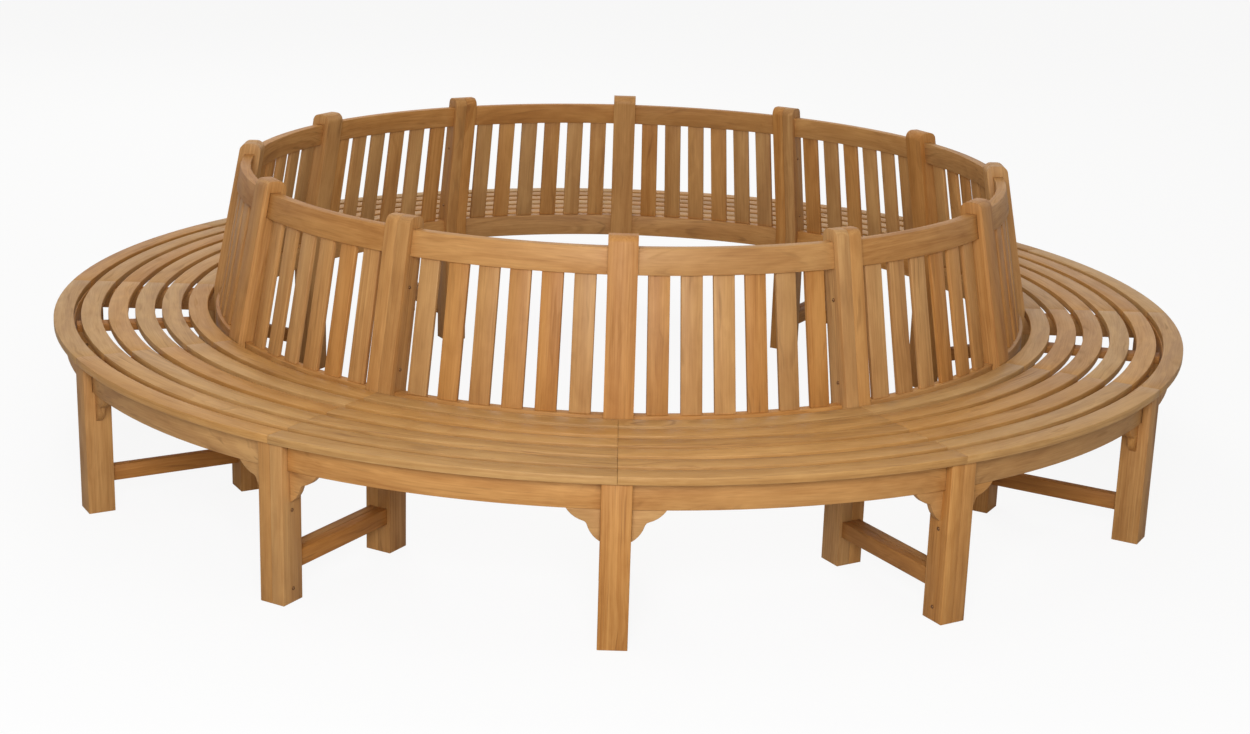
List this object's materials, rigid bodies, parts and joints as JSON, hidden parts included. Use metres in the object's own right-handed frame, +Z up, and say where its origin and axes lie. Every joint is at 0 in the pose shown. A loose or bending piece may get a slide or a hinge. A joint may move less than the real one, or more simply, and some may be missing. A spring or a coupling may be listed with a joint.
{
  "type": "tree bench",
  "caption": "Round teak tree bench: a full ring of curved seat slats with a raked, slatted back, made as six sections bolted together round a trunk.",
  "frame": {"origin": "on the ground at the centre of the trunk space", "axes": "+Z up through the trunk space; -Y towards the front middle frame, +X towards a joint frame a quarter turn on"},
  "size_m": [3.28, 3.28, 0.86],
  "materials": {
    "seat_teak": "sanded",
    "back_and_leg_teak": "sanded",
    "frame_teak": "sanded"
  },
  "bodies": {
    "root": {"apron_rails": "back_and_leg_teak", "back_slats_bay_01": "back_and_leg_teak", "back_slats_bay_02": "back_and_leg_teak", "back_slats_bay_03": "back_and_leg_teak", "back_slats_bay_04": "back_and_leg_teak", "back_slats_bay_05": "back_and_leg_teak", "back_slats_bay_06": "back_and_leg_teak", "back_slats_bay_07": "back_and_leg_teak", "back_slats_bay_08": "back_and_leg_teak", "back_slats_bay_09": "back_and_leg_teak", "back_slats_bay_10": "back_and_leg_teak", "back_slats_bay_11": "back_and_leg_teak", "back_slats_bay_12": "back_and_leg_teak", "bottom_rails": "back_and_leg_teak", "corner_brackets": "back_and_leg_teak", "joint_leg_pair_1": "back_and_leg_teak", "joint_leg_pair_2": "back_and_leg_teak", "joint_leg_pair_3": "back_and_leg_teak", "joint_leg_pair_4": "back_and_leg_teak", "joint_leg_pair_5": "back_and_leg_teak", "joint_leg_pair_6": "back_and_leg_teak", "joint_post_pair_1": "back_and_leg_teak", "joint_post_pair_2": "back_and_leg_teak", "joint_post_pair_3": "back_and_leg_teak", "joint_post_pair_4": "back_and_leg_teak", "joint_post_pair_5": "back_and_leg_teak", "joint_post_pair_6": "back_and_leg_teak", "leg_stretchers": "frame_teak", "middle_leg_1": "back_and_leg_teak", "middle_leg_2": "back_and_leg_teak", "middle_leg_3": "back_and_leg_teak", "middle_leg_4": "back_and_leg_teak", "middle_leg_5": "back_and_leg_teak", "middle_leg_6": "back_and_leg_teak", "middle_post_1": "back_and_leg_teak", "middle_post_2": "back_and_leg_teak", "middle_post_3": "back_and_leg_teak", "middle_post_4": "back_and_leg_teak", "middle_post_5": "back_and_leg_teak", "middle_post_6": "back_and_leg_teak", "seat_bearers": "frame_teak", "seat_slats_ring_1": "seat_teak", "seat_slats_ring_2": "seat_teak", "seat_slats_ring_3": "seat_teak", "seat_slats_ring_4": "seat_teak", "seat_slats_ring_5": "seat_teak", "seat_slats_ring_6": "seat_teak", "slat_battens": "frame_teak", "top_rails": "back_and_leg_teak"}
  },
  "joints": []
}
